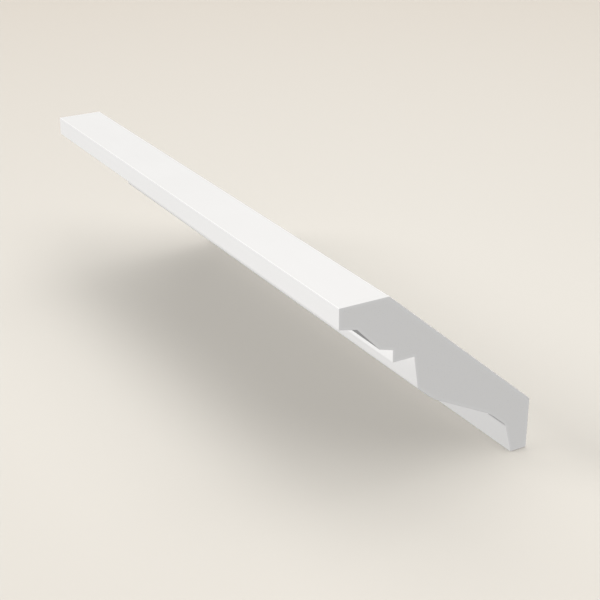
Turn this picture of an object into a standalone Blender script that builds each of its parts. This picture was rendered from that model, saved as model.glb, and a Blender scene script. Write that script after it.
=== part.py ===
"""A length of crown moulding, as it sits in the corner between a wall and a ceiling.

One solid piece, moulded to a constant section and cut square at both ends. From the ceiling
down, the section has a plain fascia, a small cyma, a fillet, a narrow soffit and a large ogee
that ends in a bottom lip against the wall. The back is a flat slope from the ceiling to the
wall.

Metres, +Z up. X runs along the length, the wall's surface is the plane Y = 0 and the room is
on its -Y side. The origin is the middle of the flat that bears on the wall.
"""

import math

import bmesh
import bpy
from mathutils import Vector

MM = 0.001

# The whole piece
LENGTH = 305 * MM
PROJECTION = 102.6 * MM
DROP = 93.5 * MM

# Flats that bear on the building
CEILING_FLAT = 24.3 * MM
WALL_FLAT = 25.3 * MM

# Members of the face, from the ceiling down
FASCIA_HEIGHT = 9.6 * MM
CYMA_HOLLOW_RUN = 8.9 * MM
CYMA_HOLLOW_FALL = 2.0 * MM
CYMA_SLOPE_RUN = 11.2 * MM
CYMA_SLOPE_FALL = 11.6 * MM
CYMA_ROLL_RUN = 6.7 * MM
CYMA_ROLL_FALL = 2.0 * MM
FILLET_HEIGHT = 5.8 * MM
SOFFIT_DEPTH = 11.0 * MM
LIP_WIDTH = 9.0 * MM

# The ogee fills the room between the soffit and the lip, so its four turns are shares of its
# own run towards the wall and of its own fall.
OGEE_BROW = (0.042, 0.252)
OGEE_BELLY = (0.192, 0.370)
OGEE_HOLLOW = (0.757, 0.624)
OGEE_FOOT = (0.926, 0.755)

# Radii along the length
ARRIS_RADIUS = 0.25 * MM
BROW_RADIUS = 1.2 * MM
BELLY_RADIUS = 30 * MM
HOLLOW_RADIUS = 30 * MM
FOOT_RADIUS = 4 * MM

# A round takes up at most this share of the shorter of the two flats that it joins.
MOST_OF_A_FLAT = 0.45
ARC_STEP = math.radians(18)
LEAST_ARC_STEPS = 3
SMOOTH_BELOW = math.radians(25)
WELD_DISTANCE = 0.01 * MM

WHITE_BODY = (0.862, 0.851, 0.836, 1.0)
BODY_ROUGHNESS = 0.55


def clear_scene():
    for obj in list(bpy.data.objects):
        bpy.data.objects.remove(obj, do_unlink=True)


def white_body():
    """The body is white all the way through, with a matt skin."""
    material = bpy.data.materials.new("white_body")
    material.use_nodes = True
    shader = material.node_tree.nodes["Principled BSDF"]
    shader.inputs["Base Color"].default_value = WHITE_BODY
    shader.inputs["Roughness"].default_value = BODY_ROUGHNESS
    shader.inputs["Metallic"].default_value = 0.0
    return material


def ogee_turn(top, foot, shares):
    """A turn of the ogee, from its shares of the run and fall between top and foot."""
    return Vector((top.x + (foot.x - top.x) * shares[0], top.y + (foot.y - top.y) * shares[1]))


def section_corners():
    """The section's corners with their radii, once round, in (out from the wall, height)."""
    underside = WALL_FLAT / -2
    ceiling = underside + DROP

    fascia_foot = Vector((PROJECTION, ceiling - FASCIA_HEIGHT))
    hollow_end = fascia_foot - Vector((CYMA_HOLLOW_RUN, CYMA_HOLLOW_FALL))
    slope_end = hollow_end - Vector((CYMA_SLOPE_RUN, CYMA_SLOPE_FALL))
    fillet_top = slope_end - Vector((CYMA_ROLL_RUN, CYMA_ROLL_FALL))
    fillet_foot = fillet_top - Vector((0, FILLET_HEIGHT))
    soffit_end = fillet_foot - Vector((SOFFIT_DEPTH, 0))
    lip_corner = Vector((LIP_WIDTH, underside))

    return [
        (Vector((PROJECTION, ceiling)), ARRIS_RADIUS),
        (fascia_foot, ARRIS_RADIUS),
        (hollow_end, ARRIS_RADIUS),
        (slope_end, ARRIS_RADIUS),
        (fillet_top, ARRIS_RADIUS),
        (fillet_foot, ARRIS_RADIUS),
        (soffit_end, ARRIS_RADIUS),
        (ogee_turn(soffit_end, lip_corner, OGEE_BROW), BROW_RADIUS),
        (ogee_turn(soffit_end, lip_corner, OGEE_BELLY), BELLY_RADIUS),
        (ogee_turn(soffit_end, lip_corner, OGEE_HOLLOW), HOLLOW_RADIUS),
        (ogee_turn(soffit_end, lip_corner, OGEE_FOOT), FOOT_RADIUS),
        (lip_corner, ARRIS_RADIUS),
        (Vector((0, underside)), ARRIS_RADIUS),
        (Vector((0, underside + WALL_FLAT)), ARRIS_RADIUS),
        (Vector((PROJECTION - CEILING_FLAT, ceiling)), ARRIS_RADIUS),
    ]


def round_corner(before, corner, after, radius):
    """Points of the arc that joins the flats before and after a corner."""
    back = before - corner
    ahead = after - corner
    turn = math.pi - back.angle(ahead)
    reach = min(
        radius * math.tan(turn / 2),
        MOST_OF_A_FLAT * min(back.length, ahead.length),
    )
    start = corner + back.normalized() * reach
    end = corner + ahead.normalized() * reach
    radius = reach / math.tan(turn / 2)
    inward = (back.normalized() + ahead.normalized()).normalized()
    centre = corner + inward * math.hypot(radius, reach)
    sweep = (start - centre).angle_signed(end - centre)
    steps = max(LEAST_ARC_STEPS, math.ceil(turn / ARC_STEP))
    angles = [-sweep * k / steps for k in range(steps + 1)]
    return [
        centre
        + Vector(
            (
                (start - centre).x * math.cos(a) - (start - centre).y * math.sin(a),
                (start - centre).x * math.sin(a) + (start - centre).y * math.cos(a),
            )
        )
        for a in angles
    ]


def section_outline():
    """The closed outline of the section, with every corner rounded."""
    corners = section_corners()
    points = []
    for k, (corner, radius) in enumerate(corners):
        before = corners[k - 1][0]
        after = corners[(k + 1) % len(corners)][0]
        points += round_corner(before, corner, after, radius)
    return points


def section_curve():
    """The section as a filled 2D curve, extruded by half the length to each side."""
    points = section_outline()
    curve = bpy.data.curves.new("moulding_section", "CURVE")
    curve.dimensions = "2D"
    curve.fill_mode = "BOTH"
    curve.extrude = LENGTH / 2
    spline = curve.splines.new("POLY")
    spline.points.add(len(points) - 1)
    for control, point in zip(spline.points, points):
        control.co = (point.x, point.y, 0, 1)
    spline.use_cyclic_u = True
    return bpy.data.objects.new("moulding_section", curve)


def crown_moulding(collection, material):
    """Turns the section upright, out into the room, and makes the extrusion one closed mesh."""
    section = section_curve()
    collection.objects.link(section)
    section.rotation_euler = (math.pi / 2, 0, -math.pi / 2)
    bpy.context.view_layer.update()
    graph = bpy.context.evaluated_depsgraph_get()
    mesh = bpy.data.meshes.new_from_object(section.evaluated_get(graph))
    mesh.name = "crown_moulding"
    moulding = bpy.data.objects.new("crown_moulding", mesh)
    moulding.matrix_world = section.matrix_world
    collection.objects.link(moulding)
    bpy.data.objects.remove(section, do_unlink=True)

    shape = bmesh.new()
    shape.from_mesh(mesh)
    bmesh.ops.remove_doubles(shape, verts=shape.verts, dist=WELD_DISTANCE)
    shape.to_mesh(mesh)
    shape.free()

    mesh.shade_smooth()
    mesh.set_sharp_from_angle(angle=SMOOTH_BELOW)
    mesh.materials.clear()
    mesh.materials.append(material)
    return moulding


def main():
    clear_scene()
    collection = bpy.data.collections.new("crown_moulding_length")
    bpy.context.scene.collection.children.link(collection)
    crown_moulding(collection, white_body())


main()
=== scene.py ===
"""The look of the crown moulding length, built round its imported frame.

Metres, +Z up. X runs along the length, the wall is the plane Y = 0 and the room is on its -Y side.
"""

import math

import bmesh
import bpy
import numpy as np
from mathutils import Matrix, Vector
from mathutils.geometry import delaunay_2d_cdt


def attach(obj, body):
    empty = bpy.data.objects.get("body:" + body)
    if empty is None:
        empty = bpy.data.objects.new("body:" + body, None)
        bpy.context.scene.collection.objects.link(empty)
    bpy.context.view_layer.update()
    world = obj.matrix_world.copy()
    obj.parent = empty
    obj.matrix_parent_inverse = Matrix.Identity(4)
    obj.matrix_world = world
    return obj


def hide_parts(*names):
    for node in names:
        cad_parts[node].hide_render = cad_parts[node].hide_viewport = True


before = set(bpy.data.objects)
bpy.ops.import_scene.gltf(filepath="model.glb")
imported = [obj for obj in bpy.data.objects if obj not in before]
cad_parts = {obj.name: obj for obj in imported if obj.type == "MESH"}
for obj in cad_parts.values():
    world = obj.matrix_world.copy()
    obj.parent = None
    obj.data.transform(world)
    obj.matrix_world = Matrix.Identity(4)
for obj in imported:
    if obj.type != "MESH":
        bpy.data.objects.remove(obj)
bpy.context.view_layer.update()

# The photographer's camera stands in the room, beyond the +X end and above the moulding, and
# looks along it at a slant. It is a long lens on a level tripod.
LENS_MM = 83.49
FRAME_WIDTH_MM = 36.0
AIM = Vector((0.01508, -0.04069, 0.01732))
DISTANCE = 0.7204
AZIMUTH = math.radians(59.81)
ELEVATION = math.radians(24.20)

camera_data = bpy.data.cameras.new("camera")
camera_data.lens = LENS_MM
camera_data.sensor_width = FRAME_WIDTH_MM
camera_data.clip_start = 0.02
camera_data.clip_end = 40.0
camera = bpy.data.objects.new("camera", camera_data)
bpy.context.scene.collection.objects.link(camera)
camera.location = AIM + DISTANCE * Vector(
    (
        math.sin(AZIMUTH) * math.cos(ELEVATION),
        -math.cos(AZIMUTH) * math.cos(ELEVATION),
        math.sin(ELEVATION),
    )
)
camera.rotation_euler = (math.radians(90) - ELEVATION, 0, AZIMUTH)
bpy.context.scene.camera = camera


# The moulded length is one piece of dense polyurethane foam, poured in a mould of constant
# section and sawn square at both ends. Its arrises are slightly eased along the length, and the
# sawn ends are eased by a stroke of fine paper.
MM = 0.001
LENGTH = 305 * MM
PROJECTION = 102.6 * MM
DROP = 93.5 * MM
CEILING_FLAT = 24.3 * MM
WALL_FLAT = 25.3 * MM
FASCIA_HEIGHT = 9.6 * MM
CYMA_HOLLOW = Vector((8.9, 2.0)) * MM
CYMA_SLOPE = Vector((11.2, 11.6)) * MM
CYMA_ROLL = Vector((6.7, 2.0)) * MM
FILLET_HEIGHT = 5.8 * MM
SOFFIT_DEPTH = 11.0 * MM
LIP_WIDTH = 9.0 * MM
OGEE_BROW = (0.042, 0.252)
OGEE_BELLY = (0.192, 0.370)
OGEE_HOLLOW = (0.757, 0.624)
OGEE_FOOT = (0.926, 0.755)

ARRIS_RADIUS = 0.15 * MM
BROW_RADIUS = 1.2 * MM
BELLY_RADIUS = 30 * MM
HOLLOW_RADIUS = 30 * MM
FOOT_RADIUS = 4 * MM
SOFT_RADIUS = 10 * MM
END_EASE = 0.1 * MM

MOST_OF_A_FLAT = 0.45
ARC_STEP = math.radians(6)
LEAST_ARC_STEPS = 6
EASE_STEPS = 3
BESIDE_ARRIS = 0.4 * MM
END_GRID = 1.1 * MM
CLEAR_OF_EDGE = 0.6 * END_GRID
SAME_POINT = 0.0001 * MM
SKIN, BACK, SAWN = range(3)


def section_corners():
    """Each corner's place (out from the wall, height), its radius and the skin after it."""
    low = WALL_FLAT / -2
    ceiling = low + DROP
    fascia_foot = Vector((PROJECTION, ceiling - FASCIA_HEIGHT))
    hollow_end = fascia_foot - CYMA_HOLLOW
    slope_end = hollow_end - CYMA_SLOPE
    fillet_top = slope_end - CYMA_ROLL
    fillet_foot = fillet_top - Vector((0, FILLET_HEIGHT))
    soffit_end = fillet_foot - Vector((SOFFIT_DEPTH, 0))
    lip = Vector((LIP_WIDTH, low))

    def on_ogee(shares):
        run = lip - soffit_end
        return soffit_end + Vector((run.x * shares[0], run.y * shares[1]))

    return [
        (Vector((PROJECTION, ceiling)), ARRIS_RADIUS, SKIN),
        (fascia_foot, ARRIS_RADIUS, SKIN),
        (hollow_end, ARRIS_RADIUS, SKIN),
        (slope_end, ARRIS_RADIUS, SKIN),
        (fillet_top, ARRIS_RADIUS, SKIN),
        (fillet_foot, ARRIS_RADIUS, SKIN),
        (soffit_end, ARRIS_RADIUS, SKIN),
        (on_ogee(OGEE_BROW), BROW_RADIUS, SKIN),
        (on_ogee(OGEE_BELLY), BELLY_RADIUS, SKIN),
        (on_ogee(OGEE_HOLLOW), HOLLOW_RADIUS, SKIN),
        (on_ogee(OGEE_FOOT), FOOT_RADIUS, SKIN),
        (lip, ARRIS_RADIUS, SKIN),
        (Vector((0, low)), ARRIS_RADIUS, BACK),
        (Vector((0, low + WALL_FLAT)), ARRIS_RADIUS, BACK),
        (Vector((PROJECTION - CEILING_FLAT, ceiling)), ARRIS_RADIUS, SKIN),
    ]


def section_outline():
    """Rows of (point, outward direction, arris, recess, skin of the run after it), once round."""
    rows = []
    corners = section_corners()
    for k, (corner, radius, skin) in enumerate(corners):
        before = corner - corners[k - 1][0]
        after = corners[(k + 1) % len(corners)][0] - corner
        arriving = before.normalized()
        leaving = after.normalized()
        turn = math.atan2(arriving.x * leaving.y - arriving.y * leaving.x, arriving.dot(leaving))
        half = math.tan(abs(turn) / 2)
        reach = min(radius * half, MOST_OF_A_FLAT * min(before.length, after.length))
        side = 1 if turn < 0 else -1
        facing = Vector((-arriving.y, arriving.x))
        start = corner - arriving * reach
        centre = start - facing * side * reach / half
        arris = float(side > 0 and radius < SOFT_RADIUS)
        recess = float(side < 0 and radius < SOFT_RADIUS)
        last_skin = corners[k - 1][2]
        rows.append((start - arriving * BESIDE_ARRIS, facing, 0.0, 0.0, last_skin))
        steps = max(LEAST_ARC_STEPS, math.ceil(abs(turn) / ARC_STEP))
        for step in range(steps + 1):
            angle = turn * step / steps
            out = Vector(
                (
                    facing.x * math.cos(angle) - facing.y * math.sin(angle),
                    facing.x * math.sin(angle) + facing.y * math.cos(angle),
                )
            )
            point = centre + out * side * reach / half
            rows.append((point, out, arris, recess, last_skin if step < steps / 2 else skin))
        rows.append((corner + leaving * (reach + BESIDE_ARRIS), out, 0.0, 0.0, skin))
    return rows


def depth_below_skin(points, outline):
    """How far each point of the sawn end lies from the nearest edge, and if it is inside."""
    ends = np.roll(outline, -1, axis=0)
    along = ends - outline
    offset = points[:, None, :] - outline[None, :, :]
    share = np.clip((offset * along).sum(-1) / (along**2).sum(-1), 0, 1)
    depth = np.linalg.norm(offset - share[..., None] * along, axis=-1).min(axis=1)
    above = outline[:, 1] > points[:, 1:2]
    ends_above = ends[:, 1] > points[:, 1:2]
    rise = np.where(along[:, 1] == 0, 1.0, along[:, 1])
    crossing = outline[:, 0] + (points[:, 1:2] - outline[:, 1]) * along[:, 0] / rise
    inside = ((above != ends_above) & (points[:, 0:1] < crossing)).sum(axis=1) % 2 == 1
    return depth, inside


def moulded_length():
    """Sweeps the outline from end to end, eases the ends and closes them with a fine sawn face."""
    rows = section_outline()
    count = len(rows)
    rings = []
    for step in range(EASE_STEPS + 1):
        angle = math.radians(90) * (1 - step / EASE_STEPS)
        inset = END_EASE * (1 - math.cos(angle))
        x = LENGTH / 2 - END_EASE * (1 - math.sin(angle))
        rings.append((-x, inset, -math.sin(angle), math.cos(angle)))
    rings += [(-x, inset, -lean, square) for x, inset, lean, square in reversed(rings)]

    places = []
    facings = []
    arrises = []
    recesses = []
    depths = []
    for x, inset, lean, square in rings:
        for point, out, arris, recess, _ in rows:
            p = point - out * inset
            places.append((x, -p.x, p.y))
            facings.append((lean, -out.x * square, out.y * square))
            arrises.append(arris)
            recesses.append(recess)
            depths.append(0.0)

    faces = []
    skins = []
    for ring in range(len(rings) - 1):
        for k, (*_, skin) in enumerate(rows):
            n = (k + 1) % count
            a = ring * count
            faces.append((a + k, a + n, a + count + n, a + count + k))
            skins.append(skin)

    edge = np.array([tuple(point - out * END_EASE) for point, out, *_ in rows])
    low = edge.min(axis=0)
    high = edge.max(axis=0)
    across = np.arange(low[0], high[0], END_GRID)
    upward = np.arange(low[1], high[1], END_GRID)
    grid = np.stack(np.meshgrid(across, upward), axis=-1).reshape(-1, 2)
    depth, inside = depth_below_skin(grid, edge)
    keep = inside & (depth > CLEAR_OF_EDGE)
    loose = [Vector(point) for point in np.concatenate([edge, grid[keep]])]
    ring_edges = [(k, (k + 1) % count) for k in range(count)]
    _, _, triangles, *_ = delaunay_2d_cdt(loose, ring_edges, [], 1, SAME_POINT)
    for end in (-1, 1):
        first = len(places)
        ring = 0 if end < 0 else (len(rings) - 1) * count
        for point, skin_depth in zip(grid[keep], depth[keep]):
            places.append((end * LENGTH / 2, -point[0], point[1]))
            facings.append((end, 0, 0))
            arrises.append(0.0)
            recesses.append(0.0)
            depths.append(skin_depth / MM)
        for triangle in triangles:
            corners = [ring + k if k < count else first + k - count for k in triangle]
            a, b, c = (Vector(places[k]) for k in corners)
            if (b - a).cross(c - a).x * end < 0:
                corners.reverse()
            faces.append(corners)
            skins.append(SAWN)

    mesh = bpy.data.meshes.new("moulded_length")
    mesh.from_pydata(places, [], faces)
    mesh.polygons.foreach_set("material_index", skins)
    for name, values in (("arris", arrises), ("recess", recesses), ("skin_depth", depths)):
        mesh.attributes.new(name, "FLOAT", "POINT").data.foreach_set("value", values)
    mesh.shade_smooth()
    mesh.normals_split_custom_set_from_vertices(facings)
    mesh.validate()
    piece = bpy.data.objects.new("moulded_length", mesh)
    bpy.context.scene.collection.objects.link(piece)
    return piece


moulding = moulded_length()
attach(moulding, "root")
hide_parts("crown_moulding")


# The skin is the white primer that the factory sprays on the moulded face. It is matt, dries
# with a very fine orange peel, and shows the faint lengthwise draw of the mould under it.
class Link:
    """A socket of a material's nodes. Arithmetic on it adds Math nodes."""

    def __init__(self, socket):
        self.socket = socket
        self.tree = socket.id_data

    def node(self, kind, settings, inputs, output=0):
        """Adds a node of any kind beside this one: its settings first, then its sockets."""
        made = self.tree.nodes.new(kind)
        for name, value in settings.items():
            setattr(made, name, value)
        for name, value in inputs.items():
            feed(made.inputs[name], value)
        return Link(made.outputs[output])

    def maths(self, operation, *values):
        return self.node("ShaderNodeMath", {"operation": operation}, dict(enumerate(values)))

    def sine(self):
        return self.maths("SINE", self)

    def __add__(self, other):
        return self.maths("ADD", self, other)

    def __sub__(self, other):
        return self.maths("SUBTRACT", self, other)

    def __rsub__(self, other):
        return self.maths("SUBTRACT", other, self)

    def __mul__(self, other):
        return self.maths("MULTIPLY", self, other)

    __radd__ = __add__
    __rmul__ = __mul__

    def ramp(self, low, high):
        """0 below low and 1 above high, with a smooth step between them."""
        sockets = {"Value": self, "From Min": low, "From Max": high}
        return self.node("ShaderNodeMapRange", {"interpolation_type": "SMOOTHSTEP"}, sockets)

    def stretched(self, x, y, z):
        """These coordinates times a factor for each axis."""
        sockets = {0: self, 1: (x, y, z)}
        return self.node("ShaderNodeVectorMath", {"operation": "MULTIPLY"}, sockets)

    def noise(self, size, detail=2.0):
        """Cloudy noise from 0 to 1 whose lumps are about size across, over these coordinates."""
        sockets = {"Vector": self, "Scale": 1 / size, "Detail": detail}
        return self.node("ShaderNodeTexNoise", {}, sockets)

    def mixed(self, first, second):
        """A colour: first where this is 0 and second where it is 1, on the node's colour pair."""
        sockets = {"Factor": self, 6: first, 7: second}
        return self.node("ShaderNodeMix", {"data_type": "RGBA"}, sockets, output=2)


def feed(socket, value):
    """Links a Link to a socket, or sets a plain value on it."""
    if isinstance(value, Link):
        socket.id_data.links.new(value.socket, socket)
    else:
        socket.default_value = value


def new_finish(name):
    """A material with its shader's sockets and the part's own coordinates in metres."""
    material = bpy.data.materials.new(name)
    material.use_nodes = True
    nodes = material.node_tree.nodes
    place = Link(nodes.new("ShaderNodeTexCoord").outputs["Object"])
    return material, nodes["Principled BSDF"].inputs, place


def relief(height, distance):
    """A bump for the Normal socket, from a height of 0 to 1 that stands distance proud."""
    sockets = {"Height": height, "Distance": distance, "Strength": 1.0}
    return height.node("ShaderNodeBump", {}, sockets)


def attribute(place, name):
    """A number that the mesh carries at each of its points."""
    settings = {"attribute_type": "GEOMETRY", "attribute_name": name}
    return place.node("ShaderNodeAttribute", settings, {}, output=2)


PRIMER = (0.862, 0.851, 0.836, 1.0)
PRIMER_THIN_AND_HIGHLIGHT = (0.878, 0.869, 0.856, 1.0)
PRIMER_DUST_AND_SHADE = (0.80, 0.785, 0.765, 1.0)
PRIMER_CLOUD = 35 * MM
MOULD_DRAW = 1.6 * MM
ORANGE_PEEL = 0.9 * MM
PRIMER_RELIEF = 0.014 * MM


def primed_skin():
    material, shader, place = new_finish("primed_skin")
    arris = attribute(place, "arris")
    recess = attribute(place, "recess")
    cloud = place.noise(PRIMER_CLOUD, detail=3.0)
    draw = place.stretched(0.01, 1, 1).noise(MOULD_DRAW, detail=3.0)
    peel = place.noise(ORANGE_PEEL)
    # The paler primer on the arrises is partly thinner primer and partly a painted highlight along
    # the edges.
    colour = (cloud.ramp(0.3, 0.7) * 0.35 + arris * 0.15).mixed(PRIMER, PRIMER_THIN_AND_HIGHLIGHT)
    # The greyer primer in the recesses is partly dust and partly painted shade in the concave
    # corners.
    colour = (recess * cloud * 0.5).mixed(colour, PRIMER_DUST_AND_SHADE)
    feed(shader["Base Color"], colour)
    feed(shader["Roughness"], 0.5 + (draw - 0.5) * 0.12 + (cloud - 0.5) * 0.08 - arris * 0.06)
    feed(shader["Specular IOR Level"], 0.35)
    feed(shader["Normal"], relief(peel * 0.6 + draw * 0.4, PRIMER_RELIEF))
    return material


moulding.data.materials.append(primed_skin())


# The back is the foam's own skin from the open side of the mould. It is bare, a little creamier
# than the primer, and shows small round bubbles and the scrape of the strickle along it.
FOAM_SKIN = (0.83, 0.81, 0.775, 1.0)
FOAM_SKIN_PALE = (0.86, 0.845, 0.82, 1.0)
FOAM_CLOUD = 22 * MM
SCRAPE = 2.4 * MM
DRAG_LINE = 0.5 * MM
BUBBLE_SPACING = 2.2 * MM
BACK_RELIEF = 0.1 * MM


def foam_back():
    material, shader, place = new_finish("foam_back")
    cloud = place.noise(FOAM_CLOUD, detail=4.0)
    scrape = place.stretched(0.02, 1, 1).noise(SCRAPE, detail=4.0)
    drag = place.stretched(0.04, 1, 1).noise(DRAG_LINE) * cloud
    sockets = {"Vector": place, "Scale": 1 / BUBBLE_SPACING, "Randomness": 1.0}
    bubble = place.node("ShaderNodeTexVoronoi", {"feature": "F1"}, sockets)
    pits = 1 - bubble.ramp(0.10, 0.22)
    colour = (cloud * 0.6 + scrape * 0.4).ramp(0.3, 0.7).mixed(FOAM_SKIN, FOAM_SKIN_PALE)
    feed(shader["Base Color"], colour)
    feed(shader["Roughness"], 0.55 + (scrape - 0.5) * 0.15)
    feed(shader["Specular IOR Level"], 0.35)
    height = scrape * 0.6 + drag * 0.2 + cloud * 0.3 - pits * 0.4
    feed(shader["Normal"], relief(height, BACK_RELIEF))
    return material


moulding.data.materials.append(foam_back())


# The sawn ends show the foam inside: a dense white rim under the skin, then fine closed cells,
# with the faint curved strokes that the saw leaves across them.
FOAM = (0.855, 0.845, 0.83, 1.0)
FOAM_RIM = (0.88, 0.872, 0.86, 1.0)
PORE_PAINTED_SHADE = (0.70, 0.69, 0.67, 1.0)
RIM_DEPTHS_MM = (0.5, 1.8)
CELL_SPACING = 0.55 * MM
CELL_PATCH = 0.7 * MM
CUT_GRAIN = 0.22 * MM
SAW_CENTRE = (0.0, -0.25, 0.16)
SAW_PITCH = 0.9 * MM
SAW_WANDER = 14 * MM
SAW_BITE = 3 * MM
SAWN_RELIEF = 0.03 * MM


def sawn_foam():
    material, shader, place = new_finish("sawn_foam")
    rim = 1 - attribute(place, "skin_depth").ramp(*RIM_DEPTHS_MM)
    sockets = {"Vector": place, "Scale": 1 / CELL_SPACING, "Randomness": 1.0}
    cell = place.node("ShaderNodeTexVoronoi", {"feature": "F1"}, sockets)
    patch = place.noise(CELL_PATCH, detail=1.0)
    pores = (1 - cell.ramp(0.12, 0.32)) * patch.ramp(0.45, 0.65) * (1 - rim * 0.8)
    sockets = {0: place.stretched(0, 1, 1), 1: SAW_CENTRE}
    stroke = place.node("ShaderNodeVectorMath", {"operation": "DISTANCE"}, sockets, output=1)
    wander = place.noise(SAW_WANDER, detail=3.0)
    bite = place.stretched(1, 1, 0.3).noise(SAW_BITE).ramp(0.4, 0.7)
    strokes = (stroke * (math.tau / SAW_PITCH) + wander * 8.0).sine() * bite
    grain = place.noise(CUT_GRAIN)
    colour = rim.mixed(FOAM, FOAM_RIM)
    # The cut pores are painted greyer, as painted shade inside the cells.
    colour = (pores * 0.55).mixed(colour, PORE_PAINTED_SHADE)
    feed(shader["Base Color"], colour)
    feed(shader["Roughness"], 0.72 - rim * 0.1)
    feed(shader["Specular IOR Level"], 0.3)
    feed(shader["Normal"], relief(strokes * 0.15 + grain * 0.25 - pores, SAWN_RELIEF))
    return material


moulding.data.materials.append(sawn_foam())


# The floor is a wide sheet of pale beige paper that turns up into a low wall all round, so it has
# no horizon. It is painted a little warmer and darker away from the moulding, a painted falloff of
# the light, and the part that stands up glows with painted light to stay as pale as the rest.
FLOOR_GAP = 0.5 * MM
PAPER = (0.269, 0.256, 0.234, 1.0)
PAPER_FAR = (0.242, 0.223, 0.197, 1.0)
PAPER_NEAR_TO_FAR = (0.15, 0.95)
PAPER_GRAIN = 3 * MM
PAPER_RELIEF = 0.01 * MM
PAPER_FLAT = 2.2
PAPER_CURVE = 0.9
PAPER_TOP = 2.6
PAPER_SIDES = 96
FLAT_RINGS = 4
CURVE_RINGS = 12
PAPER_GLOW = (0.47, 0.44, 0.39, 1.0)
DARK = (0.0, 0.0, 0.0, 1.0)


def paper_floor():
    level = WALL_FLAT / -2 - FLOOR_GAP
    profile = [(ring * PAPER_FLAT / FLAT_RINGS, 0.0) for ring in range(1, FLAT_RINGS + 1)]
    for step in range(1, CURVE_RINGS + 1):
        angle = math.radians(90) * step / CURVE_RINGS
        across = PAPER_FLAT + PAPER_CURVE * math.sin(angle)
        profile.append((across, PAPER_CURVE * (1 - math.cos(angle))))
    profile.append((PAPER_FLAT + PAPER_CURVE, PAPER_TOP))
    shape = bmesh.new()
    centre = shape.verts.new((0, 0, level))
    turns = [math.tau * side / PAPER_SIDES for side in range(PAPER_SIDES)]
    rings = []
    for radius, height in profile:
        ring = [(radius * math.cos(a), radius * math.sin(a), level + height) for a in turns]
        rings.append([shape.verts.new(point) for point in ring])
    for side in range(PAPER_SIDES):
        after = (side + 1) % PAPER_SIDES
        shape.faces.new((centre, rings[0][side], rings[0][after]))
        for inner, outer in zip(rings, rings[1:]):
            shape.faces.new((inner[side], outer[side], outer[after], inner[after]))
    mesh = bpy.data.meshes.new("paper_floor")
    shape.to_mesh(mesh)
    shape.free()
    mesh.shade_smooth()
    floor = bpy.data.objects.new("paper_floor", mesh)
    bpy.context.scene.collection.objects.link(floor)
    return floor


def paper():
    material, shader, place = new_finish("beige_paper")
    away = place.node("ShaderNodeVectorMath", {"operation": "LENGTH"}, {0: place}, output=1)
    near_edge, far_edge = PAPER_NEAR_TO_FAR
    sockets = {"Value": away, "From Min": near_edge, "From Max": far_edge}
    far = away.node("ShaderNodeMapRange", {}, sockets)
    height = place.node("ShaderNodeSeparateXYZ", {}, {"Vector": place}, output=2)
    # Painted falloff of the light: the paper is coloured darker and warmer away from the moulding.
    feed(shader["Base Color"], far.mixed(PAPER, PAPER_FAR))
    # Painted light: the upturned wall glows so that it looks as brightly lit as the floor.
    feed(shader["Emission Color"], height.ramp(0.0, PAPER_CURVE).mixed(DARK, PAPER_GLOW))
    feed(shader["Emission Strength"], 1.0)
    material.cycles.emission_sampling = "NONE"
    feed(shader["Roughness"], 0.9)
    feed(shader["Specular IOR Level"], 0.1)
    feed(shader["Normal"], relief(place.noise(PAPER_GRAIN, detail=3.0), PAPER_RELIEF))
    return material


floor = paper_floor()
floor.data.materials.append(paper())
floor.visible_diffuse = False
floor.visible_glossy = False
floor.visible_shadow = False


# One soft light high in the room, near the +X end, does most of the work, and the pale room
# sends some of it back up. A fill from behind reaches the back and the far end. The paper has
# four soft lights of its own, overhead, in front and beyond each end, whose shadows melt into one.
GLOW_ABOVE = (0.088, 0.088, 0.088, 1.0)
GLOW_BELOW = (0.359, 0.359, 0.359, 1.0)
GLOW_BLEND = 0.2
ROOM_LIGHT = Vector((0.305, -0.578, 0.757))
ROOM_STRENGTH = 1.373
BACK_LIGHT = Vector((-0.64, 0.76, -0.10))
BACK_STRENGTH = 0.85
NARROW = math.radians(12)
# Each light's direction, strength and spread in degrees
PAPER_LIGHTS = {
    "overhead_light": (Vector((-0.015, 0.364, 0.931)), 0.749, 52),
    "front_light": (Vector((-0.304, -0.783, 0.543)), 0.796, 17),
    "near_end_light": (Vector((0.590, 0.056, 0.806)), 0.551, 36),
    "far_end_light": (Vector((-0.575, 0.013, 0.818)), 0.512, 40),
}

world = bpy.data.worlds.new("room_glow")
world.use_nodes = True
world_nodes = world.node_tree.nodes
towards = Link(world_nodes.new("ShaderNodeTexCoord").outputs["Generated"])
height = towards.node("ShaderNodeSeparateXYZ", {}, {"Vector": towards}, output=2)
glow = height.ramp(-GLOW_BLEND, GLOW_BLEND).mixed(GLOW_BELOW, GLOW_ABOVE)
feed(world_nodes["Background"].inputs["Color"], glow)
bpy.context.scene.world = world


def soft_light(name, source, strength, spread, lit=None):
    """A light far off towards source, as strong everywhere. It can be kept for one object."""
    data = bpy.data.lights.new(name, "SUN")
    data.energy = strength * math.pi
    data.angle = spread
    light = bpy.data.objects.new(name, data)
    light.rotation_euler = source.to_track_quat("Z", "Y").to_euler()
    bpy.context.scene.collection.objects.link(light)
    if lit:
        light.light_linking.receiver_collection = bpy.data.collections.new(name + "_lights")
        light.light_linking.receiver_collection.objects.link(lit)
    return data


soft_light("room_light", ROOM_LIGHT, ROOM_STRENGTH, NARROW).use_shadow = False
soft_light("back_light", BACK_LIGHT, BACK_STRENGTH, NARROW).use_shadow = False
for name, (source, strength, degrees) in PAPER_LIGHTS.items():
    soft_light(name, source, strength, math.radians(degrees), floor)

bpy.context.scene.view_settings.view_transform = "Standard"
